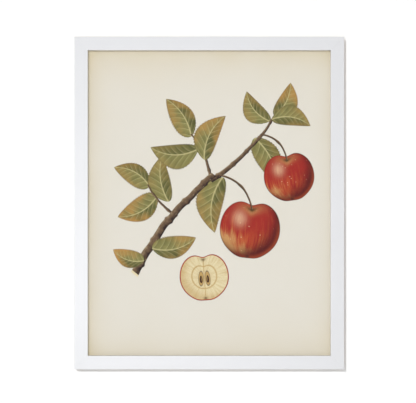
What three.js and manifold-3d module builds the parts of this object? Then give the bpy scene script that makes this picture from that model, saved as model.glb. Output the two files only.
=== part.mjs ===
// A framed print: four mitred rails round glass, a print on paper, a backing board and a back
// panel. Turn buttons on the back hold the stack in, and a sawtooth hanger carries the frame.
//
// Millimetres, +Z up. The wall is the plane y = 0 and the print faces -Y. The origin lies on
// the wall, at the middle of the hanger's bridge.
import * as THREE from "three";
import { mergeVertices } from "three/addons/utils/BufferGeometryUtils.js";
import Module from "manifold-3d";

const wasm = await Module();
wasm.setup();

// Driving dimensions

const sheet = { width: 406.4, height: 508, clearance: 1.6 }; // 16 x 20 inches, loose in its rabbet
const moulding = {
  face: 22, // across the front, from the outer edge to the sight edge
  depth: 18,
  lip: 7, // how thick the lip in front of the glass is
  lipCover: 6.4, // how much of each sheet's edge the lip hides
  frontRadius: 1.1,
  sightRadius: 0.8,
  backRadius: 0.5,
  mitreGap: 0.05,
};
const wallGap = 3.6; // from the rails' back to the wall
const layerGap = 0.1; // between one sheet and the next
const layers = [
  { name: "glazing", thickness: 2, material: "glass" },
  { name: "print_sheet", thickness: 0.3, material: "paper" },
  { name: "backing_board", thickness: 5, material: "board" },
  { name: "back_panel", thickness: 3, material: "hardboard" },
];

const button = {
  pivotRadius: 5.5,
  tipRadius: 3.5,
  tipAt: 16.5, // from the pivot to the middle of the round tip
  holeRadius: 1.8,
  thickness: 0.9,
  gap: 0.2, // above the rail
  fromMiddle: 110, // along the top and bottom rails
};
const screw = {
  headRadius: 3.4,
  headRim: 0.7,
  headHeight: 1.8,
  shankRadius: 1.45,
  shankLength: 11,
  point: 2.4,
  slotWidth: 0.9,
  slotLength: 3.6,
  slotDepth: 1.1,
  gap: 0.1, // between the head and the button
};

const hanger = {
  length: 60,
  height: 11,
  thickness: 1,
  bridgeHalf: 20, // half the raised length
  tabFrom: 22, // where the flat end tabs start
  gap: 0.1, // between the tabs and the rail
  toothPitch: 3,
  toothDepth: 2,
  toothTip: 0.6,
  teeth: 12,
  nailAt: 26,
};
const nail = { headRadius: 2.2, headHeight: 0.7, shankRadius: 0.7, shankLength: 10, point: 1.8 };
const cornerNail = { legAcross: 3.4, thickness: 0.8, length: 10, sunk: 0.2 };
const bumper = { radius: 5, topRadius: 3.2, thickness: 3.5, rim: 1.2, gap: 0.1, fromEnd: 24 };
const fit = 0.15; // round every fastener in the wood

// Worked out from the above

const sight = {
  width: sheet.width - 2 * moulding.lipCover,
  height: sheet.height - 2 * moulding.lipCover,
};
const outer = {
  width: sight.width + 2 * moulding.face,
  height: sight.height + 2 * moulding.face,
};
const backWidth = moulding.face - moulding.lipCover - sheet.clearance; // behind the rabbet
const backMiddle = backWidth / 2; // from a rail's outer edge to the middle of its back
const frontY = -wallGap - moulding.depth;
const centreZ = backMiddle - outer.height / 2;

const paint = (color, roughness, metalness = 0) => ({ color, roughness, metalness });
const finishes = {
  rail: paint(0xf0f1f3, 0.45),
  glass: { ...paint(0xffffff, 0.05), transparent: true, opacity: 0.12 },
  paper: paint(0xe4dfd2, 0.9),
  board: paint(0xc9b491, 0.9),
  hardboard: paint(0x7c5a3c, 0.8),
  zinc: paint(0xb9bcc0, 0.35, 1),
  steel: paint(0x9a9c9e, 0.4, 1),
  rubber: paint(0x2b2b2c, 0.8),
};

// Helpers: solids, cuts and named meshes

function solidOf(geometry) {
  const bare = geometry.index ? geometry.toNonIndexed() : geometry.clone();
  bare.deleteAttribute("normal");
  bare.deleteAttribute("uv");
  const merged = mergeVertices(bare, 1e-4);
  const vertProperties = merged.attributes.position.array;
  const triVerts = new Uint32Array(merged.index.array);
  return new wasm.Manifold(new wasm.Mesh({ numProp: 3, vertProperties, triVerts }));
}

function geometryOf(solid) {
  const { vertProperties, triVerts } = solid.getMesh();
  const geometry = new THREE.BufferGeometry();
  geometry.setAttribute("position", new THREE.BufferAttribute(vertProperties, 3));
  geometry.setIndex(new THREE.BufferAttribute(triVerts, 1));
  geometry.computeVertexNormals();
  return geometry;
}

function cut(geometry, tools) {
  const solid = tools.reduce((left, tool) => left.subtract(solidOf(tool)), solidOf(geometry));
  return geometryOf(solid);
}

// A round hole's cutter along Y, from y = low to y = high.
function bore(radius, x, z, low, high) {
  const cylinder = new THREE.CylinderGeometry(radius, radius, high - low, 16);
  return cylinder.translate(x, (low + high) / 2, z);
}

// A flat outline drawn in X and Z, standing from y = 0 to y = thickness.
function plate(shape, thickness, curveSegments = 6) {
  const options = { depth: thickness, bevelEnabled: false, curveSegments };
  return new THREE.ExtrudeGeometry(shape, options).rotateX(Math.PI / 2).translate(0, thickness, 0);
}

// A turned piece round Y, from [radius, height] pairs that start and end on the axis.
function turned(profile, sides) {
  const points = profile.map(([radius, height]) => new THREE.Vector2(radius, height));
  return new THREE.LatheGeometry(points, sides);
}

function mesh(name, geometry, material, x = 0, y = 0, z = 0) {
  const made = new THREE.Mesh(geometry, new THREE.MeshStandardMaterial(finishes[material]));
  made.name = name;
  made.position.set(x, y, z);
  return made;
}

// Rails. Each is made lying along X with its outer edge at z = 0 and its front at y = 0.

function railProfile() {
  const { face, depth, lip, frontRadius, sightRadius, backRadius } = moulding;
  const shape = new THREE.Shape(); // x runs inwards from the outer edge, y runs from front to back
  shape.moveTo(frontRadius, 0);
  shape.lineTo(face - sightRadius, 0);
  shape.absarc(face - sightRadius, sightRadius, sightRadius, -Math.PI / 2, 0);
  shape.lineTo(face, lip);
  shape.lineTo(backWidth, lip);
  shape.lineTo(backWidth, depth);
  shape.lineTo(backRadius, depth);
  shape.absarc(backRadius, depth - backRadius, backRadius, Math.PI / 2, Math.PI);
  shape.lineTo(0, frontRadius);
  shape.absarc(frontRadius, frontRadius, frontRadius, Math.PI, 1.5 * Math.PI);
  return shape;
}

function mitredBar(length) {
  const options = { depth: 1, bevelEnabled: false, curveSegments: 3 };
  const geometry = new THREE.ExtrudeGeometry(railProfile(), options);
  const position = geometry.attributes.position;
  for (let i = 0; i < position.count; i++) {
    const inward = position.getX(i);
    const end = position.getZ(i) > 0.5 ? 1 : -1;
    const along = end * (length / 2 - inward - moulding.mitreGap);
    position.setXYZ(i, along, position.getY(i), -inward);
  }
  return geometry;
}

// The V of a corner nail in plan: its point looks inwards and its two legs cross the mitre.
function cornerNailPlate(grow, length) {
  const { legAcross, thickness } = cornerNail;
  const near = -legAcross / 2 - grow * Math.SQRT2;
  const far = near + (thickness + 2 * grow) * Math.SQRT2;
  const across = legAcross + grow;
  const shape = new THREE.Shape([
    new THREE.Vector2(near, 0),
    new THREE.Vector2(near + across, -across),
    new THREE.Vector2(far + across, -across),
    new THREE.Vector2(far, 0),
    new THREE.Vector2(far + across, across),
    new THREE.Vector2(near + across, across),
  ]);
  return plate(shape, length);
}

function cornerSlot(length, end) {
  const slot = cornerNailPlate(fit, cornerNail.length + 1);
  slot.rotateY(end > 0 ? -Math.PI / 4 : (-3 * Math.PI) / 4);
  const bottom = moulding.depth - cornerNail.length - cornerNail.sunk - fit;
  return slot.translate(end * (length / 2 - backMiddle), bottom, -backMiddle);
}

function rail(name, length, screwsAt, nailsAt) {
  const top = moulding.depth + 1;
  const screwHole = screw.shankRadius + fit;
  const screwBottom = moulding.depth + button.gap + button.thickness + screw.gap - screw.shankLength - fit;
  const nailHole = nail.shankRadius + fit;
  const nailBottom = moulding.depth + hanger.gap + hanger.thickness - nail.shankLength - fit;
  const tools = [
    cornerSlot(length, -1),
    cornerSlot(length, 1),
    ...screwsAt.map((x) => bore(screwHole, x, -backMiddle, screwBottom, top)),
    ...nailsAt.map((x) => bore(nailHole, x, -backMiddle, nailBottom, top)),
  ];
  return mesh(name, cut(mitredBar(length), tools), "rail");
}

// Turn buttons and their screws

function buttonPlate() {
  const { pivotRadius, tipRadius, tipAt, holeRadius, thickness } = button;
  const taper = Math.asin((pivotRadius - tipRadius) / tipAt); // of the straight sides
  const shape = new THREE.Shape(); // points inwards, along -Z
  shape.absarc(0, 0, pivotRadius, -taper, Math.PI + taper);
  shape.absarc(0, -tipAt, tipRadius, Math.PI + taper, 2 * Math.PI - taper);
  shape.holes.push(new THREE.Path().absarc(0, 0, holeRadius, 0, 2 * Math.PI, true));
  return plate(shape, thickness, 8);
}

// A pointed pin with a domed or flat head, its head resting on y = 0 and its point below.
function pin({ headRadius, headHeight, shankRadius, shankLength, point }, rim, dome) {
  return turned(
    [
      [0, -shankLength],
      [shankRadius, point - shankLength],
      [shankRadius, 0],
      [headRadius, 0],
      [headRadius, rim],
      ...dome,
      [0, headHeight],
    ],
    16,
  );
}

function screwPin() {
  const { headRadius, headHeight, headRim, slotWidth, slotLength, slotDepth } = screw;
  const rise = headHeight - headRim;
  const dome = [0.35, 0.65, 0.88].map((t) => [
    headRadius * Math.cos((t * Math.PI) / 2),
    headRim + rise * Math.sin((t * Math.PI) / 2),
  ]);
  const slots = [
    new THREE.BoxGeometry(slotLength, 2 * slotDepth, slotWidth),
    new THREE.BoxGeometry(slotWidth, 2 * slotDepth, slotLength),
  ];
  slots.forEach((slot) => slot.translate(0, headHeight, 0));
  return cut(pin(screw, headRim, dome), slots);
}

function turnButton(place, x) {
  const under = moulding.depth + button.gap;
  const above = under + button.thickness + screw.gap;
  return [
    mesh(`turn_button_${place}`, buttonPlate(), "zinc", x, under, -backMiddle),
    mesh(`button_screw_${place}`, screwPin(), "steel", x, above, -backMiddle),
  ];
}

// The sawtooth hanger: flat tabs on the rail and a bridge that stands off to the wall.

function hangerPlate() {
  const { length, height, thickness, bridgeHalf, tabFrom, toothPitch, toothDepth, toothTip } = hanger;
  const rise = wallGap - hanger.gap - thickness; // of the bridge above the tabs
  const section = new THREE.Shape(); // x along the rail, y towards the wall
  section.moveTo(-length / 2, 0);
  section.lineTo(-tabFrom, 0);
  section.lineTo(-bridgeHalf, rise);
  section.lineTo(bridgeHalf, rise);
  section.lineTo(tabFrom, 0);
  section.lineTo(length / 2, 0);
  section.lineTo(length / 2, thickness);
  section.lineTo(tabFrom, thickness);
  section.lineTo(bridgeHalf, rise + thickness);
  section.lineTo(-bridgeHalf, rise + thickness);
  section.lineTo(-tabFrom, thickness);
  section.lineTo(-length / 2, thickness);
  const strip = new THREE.ExtrudeGeometry(section, { depth: height, bevelEnabled: false });
  strip.translate(0, 0, -height / 2);

  const firstTooth = (-hanger.teeth * toothPitch) / 2;
  const notches = Array.from({ length: hanger.teeth }, (_, i) => {
    const middle = firstTooth + (i + 0.5) * toothPitch;
    const half = (toothPitch - toothTip) / 2;
    const slope = toothDepth / half;
    const below = 0.5; // the cutter starts this far under the edge
    const shape = new THREE.Shape([
      new THREE.Vector2(middle - half - below / slope, -height / 2 - below),
      new THREE.Vector2(middle + half + below / slope, -height / 2 - below),
      new THREE.Vector2(middle, -height / 2 + toothDepth),
    ]);
    return plate(shape, wallGap + 1);
  });
  const holes = [-hanger.nailAt, hanger.nailAt].map((x) => bore(nail.shankRadius + fit, x, 0, -1, 2));
  return cut(strip, [...notches, ...holes]);
}

function wallHanger() {
  const on = moulding.depth + hanger.gap;
  const head = on + hanger.thickness + hanger.gap;
  const nailPin = () => pin(nail, nail.headHeight * 0.6, [[nail.headRadius * 0.8, nail.headHeight]]);
  return [
    mesh("hanger", hangerPlate(), "zinc", 0, on, -backMiddle),
    mesh("hanger_nail_left", nailPin(), "steel", -hanger.nailAt, head, -backMiddle),
    mesh("hanger_nail_right", nailPin(), "steel", hanger.nailAt, head, -backMiddle),
  ];
}

function wallBumper(side, x) {
  const { radius, topRadius, thickness, rim, gap } = bumper;
  const dome = [0.25, 0.5, 0.75].map((t) => [
    topRadius + (radius - topRadius) * Math.cos((t * Math.PI) / 2),
    rim + (thickness - rim) * Math.sin((t * Math.PI) / 2),
  ]);
  const profile = [[0, 0], [radius, 0], [radius, rim], ...dome, [topRadius, thickness], [0, thickness]];
  return mesh(`bumper_${side}`, turned(profile, 24), "rubber", x, moulding.depth + gap, -backMiddle);
}

// One side of the frame with all that it carries, made as the top one and turned into place.
// A side that is turned by two quarters runs the other way, so its left end is on the right.

function side({ name, turn, length, reach, corner, buttons, extras = [], nailsAt = [] }) {
  const edge = new THREE.Group();
  edge.position.z = reach;
  edge.add(rail(name, length, buttons.map(([, x]) => x), nailsAt));
  const vNail = cornerNailPlate(0, cornerNail.length).rotateY(-Math.PI / 4);
  const vNailY = moulding.depth - cornerNail.length - cornerNail.sunk;
  edge.add(mesh(`corner_nail_${corner}`, vNail, "steel", length / 2 - backMiddle, vNailY, -backMiddle));
  buttons.forEach(([place, x]) => edge.add(...turnButton(place, x)));
  if (extras.length) edge.add(...extras);

  const turnedSide = new THREE.Group();
  turnedSide.position.set(0, frontY, centreZ);
  turnedSide.rotation.y = (turn * Math.PI) / 2;
  turnedSide.add(edge);
  return turnedSide;
}

const framedPrint = new THREE.Group();
const bumperAt = outer.width / 2 - bumper.fromEnd;
const across = { length: outer.width, reach: outer.height / 2 };
const upright = { length: outer.height, reach: outer.width / 2 };
framedPrint.add(
  side({
    ...across,
    name: "rail_top",
    turn: 0,
    corner: "top_right",
    buttons: [["top_left", -button.fromMiddle], ["top_right", button.fromMiddle]],
    nailsAt: [-hanger.nailAt, hanger.nailAt],
    extras: wallHanger(),
  }),
  side({
    ...upright,
    name: "rail_right",
    turn: 1,
    corner: "bottom_right",
    buttons: [["right", 0]],
  }),
  side({
    ...across,
    name: "rail_bottom",
    turn: 2,
    corner: "bottom_left",
    buttons: [["bottom_right", -button.fromMiddle], ["bottom_left", button.fromMiddle]],
    extras: [wallBumper("right", -bumperAt), wallBumper("left", bumperAt)],
  }),
  side({
    ...upright,
    name: "rail_left",
    turn: 3,
    corner: "top_left",
    buttons: [["left", 0]],
  }),
);

// The stack of sheets, from the glass to the back panel.

let layerFront = frontY + moulding.lip + layerGap;
for (const { name, thickness, material } of layers) {
  const geometry = new THREE.BoxGeometry(sheet.width, thickness, sheet.height);
  framedPrint.add(mesh(name, geometry, material, 0, layerFront + thickness / 2, centreZ));
  layerFront += thickness + layerGap;
}

export default framedPrint;
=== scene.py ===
# A framed fruit print: white mitred rails, glass, a paper sheet, two boards and the fittings
# on the back. Metres, +Z up, the picture faces -Y and the wall is the plane y = 0.
import math

import bpy
from mathutils import Matrix, Vector


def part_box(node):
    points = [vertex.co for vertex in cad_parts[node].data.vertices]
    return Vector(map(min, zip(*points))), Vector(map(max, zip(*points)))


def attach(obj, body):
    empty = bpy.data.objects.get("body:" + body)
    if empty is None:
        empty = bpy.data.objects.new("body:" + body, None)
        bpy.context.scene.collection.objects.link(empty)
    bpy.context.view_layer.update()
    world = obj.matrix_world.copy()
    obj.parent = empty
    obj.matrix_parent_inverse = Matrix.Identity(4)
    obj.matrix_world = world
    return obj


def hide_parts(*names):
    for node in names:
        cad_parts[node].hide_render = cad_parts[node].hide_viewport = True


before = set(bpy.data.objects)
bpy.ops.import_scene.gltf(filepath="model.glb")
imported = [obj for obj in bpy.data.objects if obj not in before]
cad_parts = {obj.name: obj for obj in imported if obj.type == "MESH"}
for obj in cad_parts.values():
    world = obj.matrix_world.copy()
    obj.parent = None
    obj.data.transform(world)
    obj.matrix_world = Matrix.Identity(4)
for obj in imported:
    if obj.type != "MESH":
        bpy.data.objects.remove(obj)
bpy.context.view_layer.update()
scene = bpy.context.scene
mm = 0.001
hair = 0.02 * mm  # two places closer than this are one
overrun = 1 * mm  # how far a cutter stands past what it cuts
sharpAngle = 35  # degrees, over which an edge isn't shaded smooth

topLow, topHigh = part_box("rail_top")
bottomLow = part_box("rail_bottom")[0]
sheetLow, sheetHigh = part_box("print_sheet")
frontY, backY = topLow.y, topHigh.y
frameCentre = Vector((0, (frontY + backY) / 2, (topHigh.z + bottomLow.z) / 2))


# Small helpers for modelling.

def deselectAll():
    bpy.ops.object.select_all(action="DESELECT")


def pickOnly(piece):
    deselectAll()
    piece.select_set(True)
    bpy.context.view_layer.objects.active = piece


def settle(piece):  # puts the piece's place and turn into its mesh
    pickOnly(piece)
    bpy.ops.object.transform_apply(location=True, rotation=True, scale=True)


def addBox(name, low, high):
    deselectAll()
    low, high = Vector(low), Vector(high)
    bpy.ops.mesh.primitive_cube_add(size=1, location=(low + high) / 2, scale=high - low)
    box = bpy.context.active_object
    box.name = name
    settle(box)
    return box


def addRod(name, radius, low, high, sides):
    # a cylinder along Y between the middles of its ends
    deselectAll()
    low, high = Vector(low), Vector(high)
    bpy.ops.mesh.primitive_cylinder_add(vertices=sides, radius=radius, depth=(high - low).length,
                                        location=(low + high) / 2, rotation=(math.pi / 2, 0, 0))
    rod = bpy.context.active_object
    rod.name = name
    settle(rod)
    return rod


def choose(piece, kind, test):
    # leaves the piece in edit mode with the vertices, edges or faces that pass the test selected
    pickOnly(piece)
    bpy.ops.object.mode_set(mode="EDIT")
    bpy.ops.mesh.select_mode(type=kind)
    bpy.ops.mesh.select_all(action="DESELECT")
    bpy.ops.object.mode_set(mode="OBJECT")
    mesh = piece.data
    if kind == "VERT":
        for vertex in mesh.vertices:
            vertex.select = test(vertex.co)
    elif kind == "EDGE":
        for edge in mesh.edges:
            a, b = (mesh.vertices[i].co for i in edge.vertices)
            edge.select = test(a, b)
    else:
        for face in mesh.polygons:
            face.select = test(face.center, face.normal)
    bpy.ops.object.mode_set(mode="EDIT")


def leaveEdit():
    bpy.ops.object.mode_set(mode="OBJECT")


def cutAlongPlane(piece, point, normal, drop=False):
    # cuts the mesh along a plane, and drops what lies on the normal's side if asked
    pickOnly(piece)
    bpy.ops.object.mode_set(mode="EDIT")
    bpy.ops.mesh.select_all(action="SELECT")
    bpy.ops.mesh.bisect(plane_co=point, plane_no=normal, use_fill=drop, clear_outer=drop)
    leaveEdit()


def applyModifier(piece, kind, **settings):
    pickOnly(piece)
    modifier = piece.modifiers.new(kind.lower(), kind)
    for key, value in settings.items():
        setattr(modifier, key, value)
    bpy.ops.object.modifier_apply(modifier=modifier.name)


def carve(piece, cutters):
    for cutter in cutters:
        applyModifier(piece, "BOOLEAN", operation="DIFFERENCE", solver="EXACT", object=cutter)
        bpy.data.objects.remove(cutter)


def smoothShade(piece):
    # smooth across small angles, while large flat faces keep their own normals
    pickOnly(piece)
    bpy.ops.object.shade_smooth_by_angle(angle=math.radians(sharpAngle))
    applyModifier(piece, "WEIGHTED_NORMAL", keep_sharp=True, weight=100)


def copyPiece(piece, name):
    twin = piece.copy()
    twin.data = piece.data.copy()
    twin.name = name
    scene.collection.objects.link(twin)
    return twin


def finishPiece(piece, material, slot, body, *nodes):
    piece.data.materials.clear()
    piece.data.materials.append(material)
    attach(piece, body)
    if nodes:
        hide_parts(*nodes)


# Small helpers for shaders.

def rgb(red, green, blue):  # a screen colour from 0 to 255, as the linear colour that nodes take
    def linear(value):
        share = value / 255
        return share / 12.92 if share <= 0.04045 else ((share + 0.055) / 1.055) ** 2.4
    return (linear(red), linear(green), linear(blue), 1)


class Field:
    # a value that varies over a surface: arithmetic on it adds Math nodes to its tree

    def __init__(self, tree, socket):
        self.tree = tree
        self.socket = socket

    def __add__(self, other):
        return maths(self.tree, "ADD", self, other)

    def __sub__(self, other):
        return maths(self.tree, "SUBTRACT", self, other)

    def __rsub__(self, other):
        return maths(self.tree, "SUBTRACT", other, self)

    def __mul__(self, other):
        return maths(self.tree, "MULTIPLY", self, other)

    def __truediv__(self, other):
        return maths(self.tree, "DIVIDE", self, other)

    def __pow__(self, other):
        return maths(self.tree, "POWER", self, other)

    __radd__ = __add__
    __rmul__ = __mul__


def plug(tree, socket, value):
    if isinstance(value, Field):
        tree.links.new(value.socket, socket)
    elif value is not None:
        socket.default_value = value


def addNode(tree, kind, inputs, output=0, **settings):
    node = tree.nodes.new("ShaderNode" + kind)
    for key, value in settings.items():
        setattr(node, key, value)
    for key, value in inputs.items():
        plug(tree, node.inputs[key], value)
    return Field(tree, node.outputs[output])


def maths(tree, operation, *values, limit=False):
    return addNode(tree, "Math", dict(enumerate(values)), operation=operation, use_clamp=limit)


def limited(field):  # kept from 0 to 1
    return maths(field.tree, "ADD", field, 0.0, limit=True)


def absolute(field):
    return maths(field.tree, "ABSOLUTE", field)


def fraction(field):
    return maths(field.tree, "FRACT", field)


def ramp(field, low, high):  # a smooth step from 0 at low to 1 at high
    inputs = {"Value": field, "From Min": low, "From Max": high}
    return addNode(field.tree, "MapRange", inputs, interpolation_type="SMOOTHSTEP")


def bell(field, width):  # 1 where the field is 0, fading to 0 over about two widths
    share = field / width
    return maths(field.tree, "EXPONENT", share * share * -1)


def vector(x, y, z=0.0):
    tree = x.tree
    return addNode(tree, "CombineXYZ", {"X": x, "Y": y, "Z": z})


def axes(field):
    node = field.tree.nodes.new("ShaderNodeSeparateXYZ")
    field.tree.links.new(field.socket, node.inputs[0])
    return [Field(field.tree, output) for output in node.outputs]


def noise(place, scale, detail=2.0, distortion=0.0):
    inputs = {"Vector": place, "Scale": scale, "Detail": detail, "Distortion": distortion}
    return addNode(place.tree, "TexNoise", inputs)


def spots(place, scale):  # the distance to the nearest of many scattered points
    return addNode(place.tree, "TexVoronoi", {"Vector": place, "Scale": scale})


def blend(under, over, share, mode="MIX"):
    tree = share.tree if isinstance(share, Field) else under.tree
    node = tree.nodes.new("ShaderNodeMix")
    node.data_type = "RGBA"
    node.blend_type = mode
    plug(tree, node.inputs[0], share)
    plug(tree, node.inputs[6], under)
    plug(tree, node.inputs[7], over)
    return Field(tree, node.outputs[2])


def moved(place, location=(0, 0, 0), rotation=(0, 0, 0), scale=(1, 1, 1), kind="POINT"):
    inputs = {"Vector": place, "Location": location, "Rotation": rotation, "Scale": scale}
    return addNode(place.tree, "Mapping", inputs, vector_type=kind)


def newGroup(name, inputs, outputs):
    # inputs and outputs are {name: kind}; returns the tree, its inputs as fields, and its output node
    group = bpy.data.node_groups.new(name, "ShaderNodeTree")
    for way, sockets in (("INPUT", inputs), ("OUTPUT", outputs)):
        for label, kind in sockets.items():
            group.interface.new_socket(name=label, in_out=way, socket_type="NodeSocket" + kind)
    source = group.nodes.new("NodeGroupInput")
    given = {label: Field(group, source.outputs[label]) for label in inputs}
    return group, given, group.nodes.new("NodeGroupOutput")


def useGroup(tree, group, inputs, output=0):
    node = tree.nodes.new("ShaderNodeGroup")
    node.node_tree = group
    node.label = group.name
    for key, value in inputs.items():
        plug(tree, node.inputs[key], value)
    return Field(tree, node.outputs[output])


def newMaterial(name, **constants):
    material = bpy.data.materials.new(name)
    material.use_nodes = True
    tree = material.node_tree
    surface = tree.nodes["Principled BSDF"]
    for key, value in constants.items():
        surface.inputs[key.replace("_", " ")].default_value = value
    place = Field(tree, tree.nodes.new("ShaderNodeTexCoord").outputs["Object"])
    return material, tree, surface, place


def addBump(tree, surface, height, distance):
    normal = addNode(tree, "Bump", {"Distance": distance, "Height": height})
    plug(tree, surface.inputs["Normal"], normal)


# Shader groups that several materials share.

def makeDriftGroup():
    # a slow change of tone and a fine grain, both round 1
    inputs = {"Place": "Vector", "Patch": "Float", "Grain": "Float", "Amount": "Float"}
    group, given, result = newGroup("tone drift", inputs, {"Tone": "Float"})
    slow = noise(given["Place"], given["Patch"], 3.0)
    fine = noise(given["Place"], given["Grain"], 2.0)
    tone = 1 + ((slow - 0.5) * 1.4 + (fine - 0.5) * 0.8) * given["Amount"]
    plug(group, result.inputs["Tone"], tone)
    return group


def makeFibreGroup():
    # long fibres along the first axis of Place, as a tone from 0 to 1
    inputs = {"Place": "Vector", "Length": "Float", "Width": "Float"}
    group, given, result = newGroup("long fibres", inputs, {"Tone": "Float"})
    x, y, z = axes(given["Place"])
    stretched = vector(x / given["Length"], y / given["Width"], z / given["Width"])
    broad = noise(stretched, 0.22, 2.0, 0.6)
    narrow = noise(stretched, 1.0, 3.0)
    plug(group, result.inputs["Tone"], broad * 0.55 + narrow * 0.45)
    return group


driftGroup = makeDriftGroup()
fibreGroup = makeFibreGroup()
print("shared shader groups ready")


# The printed picture is a branch of apples, in millimetres from the sheet's middle.

inkColours = {
    "outline": rgb(58, 34, 26),
    "leafShade": rgb(84, 84, 46),
    "leafLight": rgb(156, 150, 92),
    "leafVein": rgb(196, 186, 134),
    "leafTan": rgb(184, 138, 74),
    "skinDark": rgb(84, 20, 22),
    "skinRed": rgb(160, 42, 34),
    "skinOrange": rgb(188, 84, 46),
    "skinStraw": rgb(200, 150, 94),
    "skinPale": rgb(226, 184, 148),
    "hollow": rgb(86, 60, 30),
    "flesh": rgb(226, 212, 172),
    "fleshTan": rgb(190, 156, 98),
    "seed": rgb(66, 36, 26),
    "barkDark": rgb(48, 34, 32),
    "barkMiddle": rgb(112, 88, 66),
    "barkLight": rgb(178, 156, 122),
}

# Every motif group lays itself over the colour that it is given.
motifInputs = {"Under": "Color", "Point": "Vector", "Wash": "Float",
               "Place": "Vector", "Turn": "Vector", "Size": "Vector"}


def startMotif(name, extra):
    group, given, result = newGroup(name, {**motifInputs, **extra}, {"Colour": "Color"})
    own = moved(given["Point"], given["Place"], given["Turn"], given["Size"], "TEXTURE")
    x, y = axes(own)[:2]
    return group, given, result, x, y


def makeLeafGroup():
    # x runs from the stalk at 0 to the tip at 1, and y is 1 at the widest place
    extra = {"Bend": "Float", "Fold": "Float", "Age": "Float"}
    group, given, result, x, y = startMotif("apple leaf", extra)
    along = limited(x)
    y = y - given["Bend"] * along * (1 - along) * 4
    side = maths(group, "SIGN", y)
    away = absolute(y / (1 + given["Fold"] * side))
    width = along ** 0.62 * (1 - along) ** 0.9 * 2.78
    teeth = fraction(along * 19 + given["Wash"] * 1.5)
    inside = width * (1 - teeth * 0.09) - away
    across = away / (width + 0.03)

    vein = along * 7.5 - away * 2.5 + away * away * 0.75
    step = fraction(vein)
    veinLine = ramp(absolute(step - 0.5), 0.40, 0.49) * (1.05 - across)
    rib = 1 - ramp(away, 0.012, (1.2 - along) * 0.085)
    lit = given["Fold"] * side * 2.2 + 0.5
    tone = lit * 0.42 + step * 0.34 + (given["Wash"] - 0.5) * 0.8 - across * 0.10 + 0.06
    colour = blend(inkColours["leafShade"], inkColours["leafLight"], limited(tone))
    tan = ramp(given["Wash"] * 0.9 + along * 0.5 + across * 0.3, 0.62, 1.15) * given["Age"]
    colour = blend(colour, inkColours["leafTan"], tan)
    colour = blend(colour, inkColours["leafVein"], veinLine * 0.6)
    colour = blend(colour, inkColours["leafVein"], rib * 0.85)
    edge = 1 - ramp(inside, 0.02, 0.11)
    colour = blend(colour, inkColours["outline"], edge * 0.42)
    plug(group, result.inputs["Colour"], blend(given["Under"], colour, ramp(inside, 0.0, 0.045)))
    return group


def appleOutline(group, x, y):
    # an apple's radius in every direction, with a dip at the stalk and a smaller one below
    turn = absolute(maths(group, "ARCTAN2", x, y))
    reach = 1 - bell(turn, 0.30) * 0.17 - bell(turn - math.pi, 0.26) * 0.055
    reach = reach + bell(turn - 0.78, 0.5) * 0.045 - bell(turn - 2.5, 0.5) * 0.035
    length = maths(group, "SQRT", x * x + y * y)
    return length / reach, x / reach, y / reach


def makeAppleGroup():
    # the stalk's hollow is at the top, and the outline is about 1 from the middle
    extra = {"Blush": "Float", "Seed": "Float"}
    group, given, result, x, y = startMotif("whole apple", extra)
    out, nearX, nearY = appleOutline(group, x, y)
    depth = maths(group, "SQRT", limited(1 - out * out))
    light = nearX * -0.44 + nearY * 0.42 + depth * 0.79

    belt = maths(group, "SQRT", limited(1.03 - nearY * nearY))
    east = maths(group, "ARCSINE", nearX / belt * 0.97)
    north = maths(group, "ARCSINE", nearY * 0.97)
    streaks = noise(vector(east * 6, north * 0.8, given["Seed"]), 1.0, 3.0)
    threads = noise(vector(east * 24, north * 1.8, given["Seed"]), 1.0, 2.0)
    patches = noise(vector(east * 1.2, north * 1.2, given["Seed"]), 1.0, 2.0)

    orange = ramp(streaks * 0.7 + threads * 0.5 - nearY * 0.22, 0.52, 0.86)
    skin = blend(inkColours["skinRed"], inkColours["skinOrange"], orange)
    straw = streaks * 0.5 + threads * 0.25 + patches * 0.8 - nearY * 0.38 - nearX * 0.2
    skin = blend(skin, inkColours["skinStraw"], ramp(straw + given["Blush"], 0.9, 1.25))
    shade = ramp(light + (given["Wash"] - 0.5) * 0.3, -0.12, 0.72)
    skin = blend(inkColours["skinDark"], skin, shade)

    shine = bell(nearX + 0.36, 0.2) * bell(nearY - 0.34, 0.24)
    skin = blend(skin, inkColours["skinPale"], shine * (0.45 + threads * 0.5))
    bounce = ramp(out, 0.80, 0.99) * ramp(nearX - nearY, 0.2, 1.2)
    skin = blend(skin, inkColours["skinOrange"], bounce * 0.5)
    freckle = 1 - ramp(spots(vector(east * 5.2, north * 5.2, given["Seed"]), 1.0), 0.06, 0.13)
    skin = blend(skin, inkColours["skinPale"], freckle * ramp(shade, 0.1, 0.6) * 0.75)

    russet = bell(nearX, 0.34) * bell(nearY - 0.74, 0.17)
    skin = blend(skin, inkColours["skinStraw"], russet * (0.3 + threads * 0.7))
    hollow = bell(nearX, 0.19) * bell(nearY - 0.80, 0.085)
    skin = blend(skin, inkColours["hollow"], hollow)
    eye = bell(nearX, 0.085) * bell(nearY + 0.93, 0.05)
    skin = blend(skin, inkColours["outline"], eye * 0.9)
    skin = blend(skin, inkColours["outline"], ramp(out, 0.955, 0.995) * 0.5)
    plug(group, result.inputs["Colour"], blend(given["Under"], skin, 1 - ramp(out, 0.985, 1.01)))
    return group


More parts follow.
